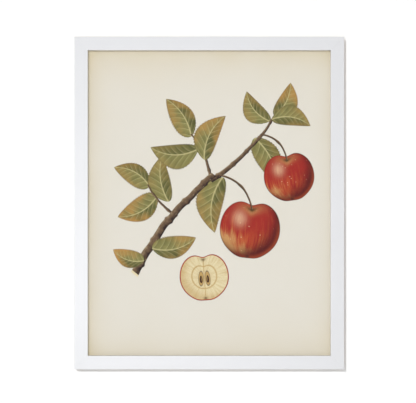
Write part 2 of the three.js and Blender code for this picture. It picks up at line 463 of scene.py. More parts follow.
def makeCutAppleGroup():
    # an apple halved through its core, with the same outline
    group, given, result, x, y = startMotif("halved apple", {"Seed": "Float"})
    out, nearX, nearY = appleOutline(group, x, y)
    turn = maths(group, "ARCTAN2", x, y)
    rays = noise(vector(turn * 9, out * 1.5, given["Seed"]), 1.0, 3.0)
    streaked = ramp(rays + out * 0.15, 0.45, 0.95)
    flesh = blend(inkColours["flesh"], inkColours["fleshTan"], streaked * 0.6)
    shaded = ramp(out * 1.1 - nearX * 0.35 + nearY * -0.3, 0.75, 1.3)
    flesh = blend(flesh, inkColours["fleshTan"], shaded * 0.55)
    core = out - 0.50 - nearY * 0.05
    flesh = blend(flesh, inkColours["fleshTan"], bell(core, 0.028) * 0.9)
    flesh = blend(flesh, inkColours["fleshTan"], ramp(core * -1, 0.0, 0.4) * 0.35)
    spine = bell(x, 0.016) * ramp(0.86 - absolute(nearY), 0.0, 0.1)
    flesh = blend(flesh, inkColours["fleshTan"], spine)

    sideX = absolute(x) - 0.135
    lift = y + 0.04
    pocket = sideX * sideX / 0.0110 + lift * lift / 0.090 + sideX * lift * 8
    flesh = blend(flesh, inkColours["fleshTan"], 1 - ramp(pocket, 0.75, 1.05))
    flesh = blend(flesh, inkColours["outline"], bell(pocket - 0.95, 0.16) * 0.75)
    seedY = lift + 0.03
    girth = maths(group, "MAXIMUM", 0.0034 - seedY * 0.009, 0.001)
    pip = sideX * sideX / girth + seedY * seedY / 0.026
    flesh = blend(flesh, inkColours["seed"], 1 - ramp(pip, 0.8, 1.05))
    flesh = blend(flesh, inkColours["fleshTan"], bell(sideX + 0.018, 0.012) * bell(seedY, 0.08) * 0.7)

    crown = bell(nearX, 0.11) * bell(nearY - 0.86, 0.07)
    eye = bell(nearX, 0.075) * bell(nearY + 0.90, 0.06)
    flesh = blend(flesh, inkColours["hollow"], limited(crown + eye) * 0.85)
    skin = blend(inkColours["skinRed"], inkColours["skinOrange"], ramp(rays, 0.4, 0.7))
    flesh = blend(flesh, skin, ramp(out, 0.945, 0.962))
    flesh = blend(flesh, inkColours["skinDark"], ramp(out, 0.972, 1.0) * 0.7)
    plug(group, result.inputs["Colour"], blend(given["Under"], flesh, 1 - ramp(out, 0.985, 1.01)))
    return group


def makeTwigGroup():
    # x runs from the thick end at 0 to the thin end at 1, and y is in millimetres
    extra = {"Bend": "Float", "Thick": "Float", "Thin": "Float", "Sawn": "Float", "Knots": "Float"}
    group, given, result, x, y = startMotif("twig", extra)
    along = limited(x)
    wobble = noise(vector(along * 6, given["Thick"]), 1.0, 1.0) - 0.5
    y = y - given["Bend"] * along * (1 - along) * 4 - wobble * given["Thick"] * 0.9
    knots = bell(fraction(along * given["Knots"]) - 0.5, 0.07) * 0.3
    half = (given["Thick"] + (given["Thin"] - given["Thick"]) * along) * (1 + knots)
    around = y / half
    inside = half - absolute(y)

    place = vector(along * 34, around * 1.6, given["Thick"])
    bark = noise(place, 1.0, 4.0)
    rings = noise(vector(along * 90, around * 0.6, given["Thick"]), 1.0, 2.0)
    tone = around * 0.42 + 0.42 + (bark - 0.5) * 0.9 + (rings - 0.5) * 0.5
    colour = blend(inkColours["barkDark"], inkColours["barkMiddle"], ramp(tone, 0.05, 0.55))
    colour = blend(colour, inkColours["barkLight"], ramp(tone, 0.55, 1.05))
    pores = 1 - ramp(spots(vector(along * 22, around * 1.2), 1.0), 0.10, 0.2)
    colour = blend(colour, inkColours["barkLight"], pores * 0.6)
    colour = blend(colour, inkColours["outline"], (1 - ramp(inside, 0.1, 0.9)) * 0.6)
    sawn = (1 - ramp(x, 0.014, 0.018)) * given["Sawn"]
    colour = blend(colour, inkColours["flesh"], sawn)
    ends = maths(group, "GREATER_THAN", x, 0.0) * maths(group, "LESS_THAN", x, 1.0)
    cover = ramp(inside, 0.0, 0.55) * ends
    plug(group, result.inputs["Colour"], blend(given["Under"], colour, cover))
    return group


leafGroup = makeLeafGroup()
appleGroup = makeAppleGroup()
cutAppleGroup = makeCutAppleGroup()
twigGroup = makeTwigGroup()

# Leaves: start, direction in degrees, length, half width, bend, fold, age.
backLeaves = [
    ((-97, 27), 152, 66, 19, -0.5, 0.20, 0.5),
    ((-84, 12), 208, 74, 21, 0.5, -0.18, 0.9),
    ((-66, 2), 98, 76, 20, 0.4, 0.16, 0.3),
    ((-29, 108), 124, 74, 21, -0.4, 0.18, 0.6),
    ((-18, 88), 178, 78, 22, 0.5, 0.17, 0.2),
    ((99, 133), 128, 62, 18, 0.5, 0.18, 0.4),
    ((106, 142), 64, 60, 18, -0.4, -0.2, 0.8),
    ((22, 42), 262, 92, 24, -0.5, -0.18, 0.5),
    ((74, 106), 296, 84, 22, 0.4, -0.16, 0.3),
]
frontLeaves = [
    ((-8, 70), 64, 80, 21, 0.5, 0.18, 0.7),
    ((102, 136), 350, 64, 18, 0.5, 0.17, 0.4),
    ((-93, -74), 14, 74, 20, -0.5, 0.2, 0.6),
    ((-106, -94), 160, 54, 16, 0.5, -0.18, 1.0),
]
# Twigs: start, end, bend, half thickness at both ends, sawn end, knots.
branchTwigs = [
    ((-52, -22), (-100, 30), 5, 2.6, 1.5, 0, 2),
    ((2, 40), (-30, 112), -6, 2.9, 1.6, 0, 3),
    ((2, 36), (108, 144), -9, 4.6, 2.0, 0, 5),
    ((-122, -116), (8, 46), 11, 7.2, 5.0, 1, 5),
]
stalks = [
    ((14, 46), (69.4, -11), 14, 2.1, 1.8, 0, 1),
    ((83, 112), (126.2, 69.5), 11, 2.0, 1.7, 0, 1),
]
# Apples: middle, tilt in degrees, radius, blush, seed.
apples = [
    ((66, -44), -6, 49, 0.02, 3.0),
    ((130, 42), 8, 41, -0.10, 8.0),
]
halvedApple = ((-8, -121), 4, 40, 5.0)


def flatTurn(degrees):
    return (0, 0, math.radians(degrees))


def drawLeaves(tree, shared, under, leaves):
    for (x, y), degrees, length, half, bend, fold, age in leaves:
        under = useGroup(tree, leafGroup, {
            **shared, "Under": under, "Place": (x, y, 0), "Turn": flatTurn(degrees),
            "Size": (length, half, 1), "Bend": bend, "Fold": fold, "Age": age})
    return under


def drawTwigs(tree, shared, under, twigs):
    for start, end, bend, thick, thin, sawn, knots in twigs:
        run = Vector(end) - Vector(start)
        under = useGroup(tree, twigGroup, {
            **shared, "Under": under, "Place": (*start, 0), "Turn": (0, 0, math.atan2(run.y, run.x)),
            "Size": (run.length, 1, 1), "Bend": bend, "Thick": thick, "Thin": thin,
            "Sawn": sawn, "Knots": knots})
    return under


def drawPicture(tree, shared, paper):
    colour = drawLeaves(tree, shared, paper, backLeaves)
    colour = drawTwigs(tree, shared, colour, branchTwigs)
    for (x, y), degrees, radius, blush, seed in apples:
        colour = useGroup(tree, appleGroup, {
            **shared, "Under": colour, "Place": (x, y, 0), "Turn": flatTurn(degrees),
            "Size": (radius, radius, 1), "Blush": blush, "Seed": seed})
    (x, y), degrees, radius, seed = halvedApple
    colour = useGroup(tree, cutAppleGroup, {
        **shared, "Under": colour, "Place": (x, y, 0), "Turn": flatTurn(degrees),
        "Size": (radius, radius, 1), "Seed": seed})
    colour = drawTwigs(tree, shared, colour, stalks)
    return drawLeaves(tree, shared, colour, frontLeaves)


paperPlan = {
    "cream": rgb(225, 220, 209),
    "edgeTan": rgb(216, 204, 177),
    "sideFade": 15,  # millimetres over which the tan of the long edges fades
    "sideShift": 5,  # how much wider it is on the left than on the right
    "endFade": 34,
    "endShift": 9,
    "toning": 0.72,
    "tone": 0.93,  # of the whole sheet, beside the white rails
    "cockle": 0.00012,  # how far the sheet waves in and out
    "thickness": 0.00025,
    "grainDepth": 0.00002,
}


def makePrintMaterial():
    material, tree, surface, place = newMaterial("printed paper", Roughness=0.85)
    surface.inputs["Specular IOR Level"].default_value = 0.25
    centre = (sheetLow + sheetHigh) / 2
    x, y, z = axes(place)
    point = vector((x - centre.x) / mm, (z - centre.z) / mm)
    wash = noise(point, 0.055, 3.0)
    blotch = noise(point, 0.012, 2.0)
    grain = noise(point, 1.1, 2.0)

    plan = paperPlan
    halfWidth = (sheetHigh.x - sheetLow.x) / 2 / mm
    halfHeight = (sheetHigh.z - sheetLow.z) / 2 / mm
    across, up = axes(point)[:2]
    fromSide = absolute(across - plan["sideShift"]) - halfWidth
    fromEnd = absolute(up + plan["endShift"]) - halfHeight
    nearSide = maths(tree, "EXPONENT", fromSide / plan["sideFade"])
    nearEnd = maths(tree, "EXPONENT", fromEnd / plan["endFade"])
    patchy = plan["toning"] + (blotch - 0.5) * 0.5
    tan = limited((nearSide + nearEnd) * patchy + (blotch - 0.5) * 0.2)
    paper = blend(plan["cream"], plan["edgeTan"], tan)
    foxing = (1 - ramp(spots(point, 0.021), 0.02, 0.075)) * ramp(wash, 0.5, 0.7)
    paper = blend(paper, plan["edgeTan"], foxing * 0.5)

    shared = {"Point": point, "Wash": wash}
    ink = drawPicture(tree, shared, paper)
    lightness = addNode(tree, "RGBToBW", {0: ink})
    press = 1 + (grain - 0.5) * ramp(lightness * -1, -0.7, -0.1) * 0.75
    fibres = 1 + (noise(point, 0.45, 3.0) - 0.5) * 0.05
    shade = press * fibres * plan["tone"]
    ink = blend(ink, vector(shade, shade, shade), 1.0, "MULTIPLY")
    plug(tree, surface.inputs["Base Color"], ink)
    plug(tree, surface.inputs["Roughness"], 0.62 + ramp(lightness, 0.1, 0.7) * 0.25)
    addBump(tree, surface, grain * 0.5 + noise(point, 0.6, 3.0) * 0.5, plan["grainDepth"])
    return material


# Finishes of the frame and its fittings.

paintPlan = {
    "white": (0.769, 0.776, 0.795, 1),
    "rawWood": rgb(206, 186, 154),
    "rawWoodDark": rgb(172, 146, 112),
    "paintEdge": 0.0004,  # how far round the back edge the paint reaches
}


def makeRailMaterial(name, turned):
    # satin white paint on the front and sides, and raw wood behind; the grain runs along the rail
    material, tree, surface, place = newMaterial(name)
    along = moved(place, rotation=(0, math.pi / 2, 0)) if turned else place
    y = axes(place)[1]
    fibre = useGroup(tree, fibreGroup, {"Place": along, "Length": 0.05, "Width": 0.0011})
    drift = useGroup(tree, driftGroup, {"Place": place, "Patch": 9.0, "Grain": 700.0, "Amount": 0.02})
    white = blend((0, 0, 0, 1), paintPlan["white"], drift)
    wood = blend(paintPlan["rawWood"], paintPlan["rawWoodDark"], ramp(fibre, 0.38, 0.68))
    ragged = noise(place, 260.0, 2.0) * 0.0005
    bare = ramp(y + ragged, backY - paintPlan["paintEdge"], backY - paintPlan["paintEdge"] / 3)
    plug(tree, surface.inputs["Base Color"], blend(white, wood, bare))
    peel = noise(place, 420.0, 2.0)
    plug(tree, surface.inputs["Roughness"], 0.40 + (peel - 0.5) * 0.08 + bare * 0.35)
    addBump(tree, surface, peel * 0.4 + fibre * (0.35 + bare * 0.8), 0.00006)
    return material


glassPlan = {"tint": (0.99, 0.992, 0.991, 1), "throughTint": (0.975, 0.977, 0.976, 1), "bending": 1.45}


def makeGlassMaterial():
    material, tree, surface, place = newMaterial("clear glass", Roughness=0.0, IOR=glassPlan["bending"])
    surface.inputs["Base Color"].default_value = glassPlan["tint"]
    surface.inputs["Transmission Weight"].default_value = 1.0
    see = tree.nodes.new("ShaderNodeBsdfTransparent")
    see.inputs[0].default_value = glassPlan["throughTint"]
    path = tree.nodes.new("ShaderNodeLightPath")
    shader = surface.outputs[0]
    for ray in ("Is Diffuse Ray", "Is Shadow Ray"):  # these pass straight through
        either = tree.nodes.new("ShaderNodeMixShader")
        tree.links.new(path.outputs[ray], either.inputs[0])
        tree.links.new(shader, either.inputs[1])
        tree.links.new(see.outputs[0], either.inputs[2])
        shader = either.outputs[0]
    tree.links.new(shader, tree.nodes["Material Output"].inputs["Surface"])
    smear = noise(place, 14.0, 3.0)
    addBump(tree, surface, smear, 0.00002)
    return material


hardboardPlan = {"dark": rgb(122, 91, 64), "light": rgb(158, 124, 91), "fleck": rgb(90, 64, 45)}


def makeHardboardMaterial():
    plan = hardboardPlan
    material, tree, surface, place = newMaterial("hardboard")
    drift = useGroup(tree, driftGroup, {"Place": place, "Patch": 6.0, "Grain": 90.0, "Amount": 0.12})
    pulp = noise(place, 800.0, 4.0, 0.5)
    strands = noise(place, 240.0, 4.0, 0.8)
    brown = blend(plan["dark"], plan["light"], ramp(pulp * 0.7 + strands * 0.3, 0.34, 0.64))
    fleck = 1 - ramp(spots(place, 420.0), 0.10, 0.24)
    brown = blend(brown, plan["fleck"], fleck * ramp(strands, 0.45, 0.6) * 0.6)
    brown = blend((0, 0, 0, 1), brown, drift * 0.86)
    plug(tree, surface.inputs["Base Color"], brown)
    plug(tree, surface.inputs["Roughness"], 0.58 + (pulp - 0.5) * 0.4)
    addBump(tree, surface, pulp, 0.00006)
    return material


boardPlan = {"light": rgb(196, 164, 118), "dark": rgb(170, 136, 92), "flute": 0.0065}


def makeBoardMaterial():
    # kraft liner, with the flutes showing through as faint stripes
    plan = boardPlan
    material, tree, surface, place = newMaterial("corrugated board")
    x = axes(place)[0]
    flute = maths(tree, "SINE", x * (2 * math.pi / plan["flute"]))
    fibre = useGroup(tree, fibreGroup, {"Place": place, "Length": 0.008, "Width": 0.0009})
    drift = useGroup(tree, driftGroup, {"Place": place, "Patch": 10.0, "Grain": 400.0, "Amount": 0.10})
    kraft = blend(plan["light"], plan["dark"], ramp(fibre, 0.35, 0.7))
    plug(tree, surface.inputs["Base Color"], blend((0, 0, 0, 1), kraft, drift * 0.9 + flute * 0.02))
    plug(tree, surface.inputs["Roughness"], 0.82 + (fibre - 0.5) * 0.2)
    addBump(tree, surface, flute * 0.5 + fibre * 0.3, 0.00012)
    return material


def makeMetalMaterial(name, colour, rough, patch):
    material, tree, surface, place = newMaterial(name, Metallic=1.0)
    drift = useGroup(tree, driftGroup, {"Place": place, "Patch": patch, "Grain": 2600.0, "Amount": 0.14})
    scuff = useGroup(tree, fibreGroup, {"Place": moved(place, rotation=(0, 0.5, 0)),
                                        "Length": 0.004, "Width": 0.00012})
    plug(tree, surface.inputs["Base Color"], blend((0, 0, 0, 1), colour, drift * 0.92))
    plug(tree, surface.inputs["Roughness"], rough + (scuff - 0.5) * 0.35 + (drift - 1) * 0.8)
    addBump(tree, surface, scuff, 0.00001)
    return material


rubberPlan = {"black": (0.045, 0.045, 0.047, 1), "dust": rgb(150, 146, 138)}


def makeRubberMaterial():
    plan = rubberPlan
    material, tree, surface, place = newMaterial("soft rubber")
    drift = useGroup(tree, driftGroup, {"Place": place, "Patch": 160.0, "Grain": 1800.0, "Amount": 0.5})
    dust = noise(place, 900.0, 3.0)
    black = blend((0, 0, 0, 1), plan["black"], drift * 0.8)
    dusty = blend(black, plan["dust"], ramp(dust, 0.6, 0.9) * 0.35)
    plug(tree, surface.inputs["Base Color"], dusty)
    plug(tree, surface.inputs["Roughness"], 0.55 + (dust - 0.5) * 0.3)
    addBump(tree, surface, dust, 0.00002)
    return material


railAcross = makeRailMaterial("painted rail, across", False)
railUpright = makeRailMaterial("painted rail, upright", True)
zinc = makeMetalMaterial("zinc plate", (0.66, 0.67, 0.69, 1), 0.34, 70.0)
steel = makeMetalMaterial("bright steel", (0.56, 0.56, 0.57, 1), 0.28, 160.0)
print("materials ready")


# The four rails.

railPlan = {
    "lip": 0.007,  # in front of the glass
    "backWidth": 0.014,  # of the part behind the lip
    "frontRound": 0.0011,
    "sightRound": 0.0008,
    "backRound": 0.0005,
    "rabbetRound": 0.0002,
    "mitreGap": 0.00005,
    "roundSteps": 5,
    "screwShank": 0.00145,
    "fastenerRoom": 0.00015,  # round the nails and screws in the wood
    "holeSides": 24,
    "endSpare": 0.01,  # cut off again by the mitres
}


def nearTo(value, target):
    return abs(value - target) < hair


def roundEdge(bar, y, z, radius):
    # rounds the long edge of the bar that runs along X at this y and z
    def onLine(a, b):
        return all(nearTo(end.y, y) and nearTo(end.z, z) for end in (a, b))
    choose(bar, "EDGE", onLine)
    bpy.ops.mesh.bevel(offset=radius, segments=railPlan["roundSteps"], affect="EDGES")
    leaveEdit()


def nailSlot(node):
    # a cutter a little larger than a corner nail, open to the back
    slot = copyPiece(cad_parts[node], "nail slot")
    choose(slot, "VERT", lambda place: True)
    bpy.ops.mesh.remove_doubles(threshold=hair / 4)
    bpy.ops.mesh.normals_make_consistent(inside=False)
    bpy.ops.transform.shrink_fatten(value=railPlan["fastenerRoom"])
    leaveEdit()
    rear = max(vertex.co.y for vertex in slot.data.vertices)
    choose(slot, "VERT", lambda place: place.y > rear - overrun)
    bpy.ops.transform.translate(value=(0, overrun, 0))
    leaveEdit()
    return slot


def screwHole(node):
    low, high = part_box(node)
    middle = (low + high) / 2
    radius = railPlan["screwShank"] + railPlan["fastenerRoom"]
    return addRod("hole", radius, (middle.x, low.y, middle.z), (middle.x, 0, middle.z),
                  railPlan["holeSides"])


def makeRail(node, quarterTurns, corners, screws):
    # modelled as the top rail, then turned round the frame's middle into its place
    plan = railPlan
    low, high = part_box(node)
    upright = quarterTurns % 2 == 1
    length = (high.z - low.z if upright else high.x - low.x) + 2 * plan["mitreGap"]
    reach = (topHigh.x if upright else topHigh.z - frameCentre.z) + plan["mitreGap"] * upright
    outer = frameCentre.z + reach
    inner = outer - (topHigh.z - topLow.z)
    rabbet = outer - plan["backWidth"]
    lipBack = frontY + plan["lip"]
    halfBar = length / 2 + plan["endSpare"]
    bar = addBox(node + "_moulding", (-halfBar, frontY, inner), (halfBar, lipBack, outer))
    cutAlongPlane(bar, (0, 0, rabbet), (0, 0, 1))
    choose(bar, "FACE", lambda middle, normal: normal.y > 0.5 and middle.z > rabbet)
    bpy.ops.mesh.extrude_region_move(TRANSFORM_OT_translate={"value": (0, backY - lipBack, 0)})
    leaveEdit()
    roundEdge(bar, frontY, outer, plan["frontRound"])
    roundEdge(bar, frontY, inner, plan["sightRound"])
    roundEdge(bar, backY, outer, plan["backRound"])
    roundEdge(bar, backY, rabbet, plan["rabbetRound"])
    for end in (-1, 1):
        corner = (end * (length / 2 - plan["mitreGap"]), 0, outer)
        cutAlongPlane(bar, corner, (end, 0, -1), drop=True)
    pickOnly(bar)
    turn = Matrix.Rotation(quarterTurns * math.pi / 2, 4, "Y")
    bar.matrix_world = Matrix.Translation(frameCentre) @ turn @ Matrix.Translation(-frameCentre)
    settle(bar)
    carve(bar, [nailSlot("corner_nail_" + corner) for corner in corners]
          + [screwHole("button_screw_" + place) for place in screws])
    smoothShade(bar)
    finishPiece(bar, railUpright if upright else railAcross, "rail", "frame", node)


makeRail("rail_top", 0, ("top_left", "top_right"), ("top_left", "top_right"))
makeRail("rail_right", 1, ("top_right", "bottom_right"), ("right",))
makeRail("rail_bottom", 2, ("bottom_left", "bottom_right"), ("bottom_left", "bottom_right"))
makeRail("rail_left", 3, ("top_left", "bottom_left"), ("left",))
print("rails ready")


# The glass, the print and the boards behind it.

sheetPlan = {
    "columns": 40,
    "rows": 50,
    "waveLength": 0.11,
    "mapFront": 0.965,  # of the map's width, for the printed side
    "mapMargin": 0.002,
    "arris": 0.0003,
    "panelArris": 0.0005,
    "arrisSteps": 2,
}


def makePrintSheet():
    plan = sheetPlan
    deselectAll()
    centre = (sheetLow + sheetHigh) / 2
    extent = sheetHigh - sheetLow
    bpy.ops.mesh.primitive_grid_add(x_subdivisions=plan["columns"], y_subdivisions=plan["rows"], size=1,
                                    location=(centre.x, sheetLow.y, centre.z),
                                    rotation=(math.pi / 2, 0, 0))
    sheet = bpy.context.active_object
    sheet.name = "printed_sheet"
    sheet.scale = (extent.x, extent.z, 1)
    settle(sheet)
    waves = bpy.data.textures.new("paper cockle", "CLOUDS")
    waves.noise_scale = plan["waveLength"]
    applyModifier(sheet, "DISPLACE", texture=waves, texture_coords="LOCAL", direction="Y",
                  strength=paperPlan["cockle"], mid_level=0.0)
    applyModifier(sheet, "SOLIDIFY", thickness=paperPlan["thickness"], offset=-1)
    mapSheet(sheet, centre, extent)
    smoothShade(sheet)
    finishPiece(sheet, makePrintMaterial(), "print", "frame", "print_sheet")


def mapSheet(sheet, centre, extent):
    # the front fills nearly the whole map, and the back and the rim share the strip beside it
    share, margin = sheetPlan["mapFront"], sheetPlan["mapMargin"]
    layer = sheet.data.uv_layers.new(name="OFBake")
    for face in sheet.data.polygons:
        front = face.normal.y < -0.5
        for loop in face.loop_indices:
            place = sheet.data.vertices[sheet.data.loops[loop].vertex_index].co
            u = min(max((place.x - centre.x) / extent.x + 0.5, 0), 1)
            v = min(max((place.z - centre.z) / extent.z + 0.5, 0), 1)
            if front:
                u = margin + u * (share - 2 * margin)
            else:
                u = share + 2 * margin + u * (1 - share - 4 * margin)
            layer.uv[loop].vector = (u, margin + v * (1 - 2 * margin))


def makePane(name, node, material, slot, arris):
    # a flat sheet whose edges and corners are a little eased
    low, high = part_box(node)
    pane = addBox(name, low, high)
    applyModifier(pane, "BEVEL", width=arris, segments=sheetPlan["arrisSteps"], limit_method="ANGLE")
    smoothShade(pane)
    finishPiece(pane, material, slot, "frame", node)


makePrintSheet()
makePane("glass_pane", "glazing", makeGlassMaterial(), "glazing", sheetPlan["arris"])
makePane("corrugated_backing", "backing_board", makeBoardMaterial(), "backing_board", sheetPlan["arris"])
makePane("hardboard_back", "back_panel", makeHardboardMaterial(), "back_panel", sheetPlan["panelArris"])
print("sheets ready")


# The turn buttons and their screws.

buttonPlan = {
    "pivotRadius": 0.0055,
    "tipRadius": 0.0035,
    "tipAt": 0.0165,
    "hole": 0.0018,
    "holeSides": 32,
    "edgeRound": 0.00022,
    "edgeSteps": 3,
    "edgeAngle": 50,  # sharper edges than this are rounded
    "bendFrom": 0.0095,
    "bendSteps": 8,
    "bendTo": 0.0192,
    "rise": 0.00075,  # how far the tip is bent away from the panel
    "sides": 52,
}


def makeButtonShape():
    # lies at the origin, pointing down, with its underside on y = 0
    plan = buttonPlan
    low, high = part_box("turn_button_top_left")
    thickness = high.y - low.y
    blank = addRod("button", plan["pivotRadius"], (0, 0, 0), (0, thickness, 0), plan["sides"])
    taper = math.asin((plan["pivotRadius"] - plan["tipRadius"]) / plan["tipAt"])
    edge = -plan["pivotRadius"] * math.sin(taper) - hair
    choose(blank, "VERT", lambda place: place.z < edge)
    shrink = plan["tipRadius"] / plan["pivotRadius"]
    bpy.ops.transform.resize(value=(shrink, 1, shrink), center_override=(0, 0, 0))
    bpy.ops.transform.translate(value=(0, 0, -plan["tipAt"]))
    leaveEdit()
    carve(blank, [addRod("hole", plan["hole"], (0, -overrun, 0), (0, thickness + overrun, 0),
                         plan["holeSides"])])
    stepLength = (plan["bendTo"] - plan["bendFrom"]) / plan["bendSteps"]
    for step in range(plan["bendSteps"]):
        cutAlongPlane(blank, (0, 0, -plan["bendFrom"] - step * stepLength), (0, 0, 1))
    for step in range(plan["bendSteps"]):
        start = -plan["bendFrom"] - step * stepLength - hair / 2
        choose(blank, "VERT", lambda place: place.z < start)
        share = 2 * (step + 1) / (plan["bendSteps"] * (plan["bendSteps"] + 1))
        bpy.ops.transform.translate(value=(0, plan["rise"] * share, 0))
        leaveEdit()
    applyModifier(blank, "BEVEL", width=plan["edgeRound"], segments=plan["edgeSteps"],
                  limit_method="ANGLE", angle_limit=math.radians(plan["edgeAngle"]))
    return blank


screwPlan = {
    "headRadius": 0.0034,
    "headHeight": 0.0018,
    "sides": 40,
    "shoulder": 0.00105,
    "shoulderSteps": 7,
    "shank": railPlan["screwShank"],
    "threads": 8,
    "root": 0.78,  # of a thread's valley beside its ridge
    "tip": 0.08,
    "slotLength": 0.0037,
    "slotWidth": 0.00095,
    "slotDepth": 0.0011,
    "slotFloor": 0.72,  # beside its mouth
}


def makeScrewShape():
    # the head stands on y = 0 and the pointed shank goes down from it
    plan = screwPlan
    low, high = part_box("button_screw_top_left")
    shankLength = high.y - low.y - plan["headHeight"]
    head = addRod("screw", plan["headRadius"], (0, 0, 0), (0, plan["headHeight"], 0), plan["sides"])
    choose(head, "FACE", lambda middle, normal: normal.y > 0.9)
    bpy.ops.mesh.bevel(offset=plan["shoulder"], segments=plan["shoulderSteps"], affect="EDGES")
    leaveEdit()
    choose(head, "FACE", lambda middle, normal: normal.y < -0.9)
    bpy.ops.mesh.inset(thickness=plan["headRadius"] - plan["shank"])
    turns = plan["threads"]
    pitch = shankLength / (turns + 1)
    for turn in range(turns):  # each thread is a ridge between two narrower rings
        for rise in (plan["root"], 1 / plan["root"]):
            bpy.ops.mesh.extrude_region_move(TRANSFORM_OT_translate={"value": (0, -pitch / 2, 0)})
            bpy.ops.transform.resize(value=(rise, 1, rise))
    bpy.ops.mesh.extrude_region_move(TRANSFORM_OT_translate={"value": (0, -pitch, 0)})
    bpy.ops.transform.resize(value=(plan["tip"], 1, plan["tip"]))
    leaveEdit()
    top = plan["headHeight"]
    slots = []
    long, narrow = plan["slotLength"], plan["slotWidth"]
    for length, width in ((long, narrow), (narrow, long)):
        cutter = addBox("slot", (-length / 2, top - plan["slotDepth"], -width / 2),
                        (length / 2, top + overrun, width / 2))
        choose(cutter, "FACE", lambda middle, normal: normal.y < -0.9)
        bpy.ops.transform.resize(value=(plan["slotFloor"], 1, plan["slotFloor"]))
        leaveEdit()
        slots.append(cutter)
    carve(head, slots)
    return head


def placeCopies(shape, name, nodePrefix, places, material, slot, bodyOf):
    for place, degrees in places:
        node = nodePrefix + place
        screwLow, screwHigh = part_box("button_screw_" + place)
        pivot = (screwLow + screwHigh) / 2
        low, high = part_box(node)
        seat = high.y - screwPlan["headHeight"] if node.startswith("button_screw") else low.y
        piece = copyPiece(shape, name + place)
        piece.matrix_world = (Matrix.Translation((pivot.x, seat, pivot.z))
                              @ Matrix.Rotation(math.radians(degrees), 4, "Y"))
        settle(piece)
        smoothShade(piece)
        finishPiece(piece, material, slot, bodyOf(place), node)
    bpy.data.objects.remove(shape)


# Each place, with the turn that points its button to the frame's middle.
buttonPlaces = [("top_left", 0), ("top_right", 0), ("left", 270), ("right", 90),
                ("bottom_left", 180), ("bottom_right", 180)]
firstTurn, turnStep = 17, 41  # no two screws stop at the same turn
screwPlaces = [(place, firstTurn + turnStep * index)
               for index, (place, degrees) in enumerate(buttonPlaces)]
placeCopies(makeButtonShape(), "turn_button_plate_", "turn_button_", buttonPlaces, zinc, "zinc",
            lambda place: "button_" + place)
placeCopies(makeScrewShape(), "pan_head_screw_", "button_screw_", screwPlaces, steel, "steel",
            lambda place: "frame")
print("turn buttons ready")


# The hanger, its nails, the corner nails and the bumpers.

hangerPlan = {
    "thickness": 0.001,
    "bridgeHalf": 0.020,
    "tabFrom": 0.022,
    "teeth": 12,
    "pitch": 0.003,
    "toothTip": 0.0006,
    "toothDepth": 0.002,
    "notchTop": 0.12,  # of its width at the mouth
    "nailHole": 0.00085,
    "holeSides": 20,
    "cornerRound": 0.003,
    "cornerSteps": 8,
    "edgeRound": 0.00015,
    "edgeSteps": 2,
    "edgeAngle": 40,
}


def makeHanger():
    plan = hangerPlan
    low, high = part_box("hanger")
    strip = addBox("sawtooth_hanger", low, (high.x, low.y + plan["thickness"], high.z))
    for x in (plan["tabFrom"], plan["bridgeHalf"]):
        for side in (-1, 1):
            cutAlongPlane(strip, (side * x, 0, 0), (side, 0, 0))
    choose(strip, "VERT", lambda place: abs(place.x) < plan["bridgeHalf"] + hair)
    bpy.ops.transform.translate(value=(0, high.y - low.y - plan["thickness"], 0))
    leaveEdit()

    def atCorner(a, b):
        return abs(a.x) > high.x - hair and nearTo(a.x, b.x) and nearTo(a.z, b.z)
    choose(strip, "EDGE", atCorner)
    bpy.ops.mesh.bevel(offset=plan["cornerRound"], segments=plan["cornerSteps"], affect="EDGES")
    leaveEdit()
    cutters = []
    for tooth in range(plan["teeth"]):
        middle = (tooth - (plan["teeth"] - 1) / 2) * plan["pitch"]
        half = (plan["pitch"] - plan["toothTip"]) / 2
        notch = addBox("notch", (middle - half, low.y - overrun, low.z - overrun),
                       (middle + half, high.y + overrun, low.z + plan["toothDepth"]))
        choose(notch, "FACE", lambda place, normal: normal.z > 0.9)
        bpy.ops.transform.resize(value=(plan["notchTop"], 1, 1))
        leaveEdit()
        cutters.append(notch)
    for side in ("left", "right"):
        nailLow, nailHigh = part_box("hanger_nail_" + side)
        middle = (nailLow + nailHigh) / 2
        holeEnd = low.y + plan["thickness"] + overrun
        cutters.append(addRod("hole", plan["nailHole"], (middle.x, low.y - overrun, middle.z),
                              (middle.x, holeEnd, middle.z), plan["holeSides"]))
    carve(strip, cutters)
    applyModifier(strip, "BEVEL", width=plan["edgeRound"], segments=plan["edgeSteps"],
                  limit_method="ANGLE", angle_limit=math.radians(plan["edgeAngle"]))
    smoothShade(strip)
    finishPiece(strip, zinc, "zinc", "frame", "hanger")


nailPlan = {
    "shank": 0.0007,
    "pointLength": 0.0018,
    "tip": 0.06,
    "headHeight": 0.0007,
    "headRadius": 0.0022,
    "headRound": 0.00028,
    "roundSteps": 3,
    "sides": 28,
}


def makeHangerNails():
    plan = nailPlan
    for side in ("left", "right"):
        low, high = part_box("hanger_nail_" + side)
        middle = (low + high) / 2
        seat = high.y - plan["headHeight"]
        pin = addRod("round_nail_" + side, plan["headRadius"], (middle.x, seat, middle.z),
                     (middle.x, high.y, middle.z), plan["sides"])
        choose(pin, "FACE", lambda place, normal: normal.y < -0.9)
        bpy.ops.mesh.inset(thickness=plan["headRadius"] - plan["shank"])
        for run in (low.y + plan["pointLength"] - seat, -plan["pointLength"]):
            bpy.ops.mesh.extrude_region_move(TRANSFORM_OT_translate={"value": (0, run, 0)})
        bpy.ops.transform.resize(value=(plan["tip"], 1, plan["tip"]))
        leaveEdit()
        choose(pin, "EDGE", lambda a, b: min(a.y, b.y) > high.y - hair)
        bpy.ops.mesh.bevel(offset=plan["headRound"], segments=plan["roundSteps"], affect="EDGES")
        leaveEdit()
        smoothShade(pin)
        finishPiece(pin, steel, "steel", "frame", "hanger_nail_" + side)


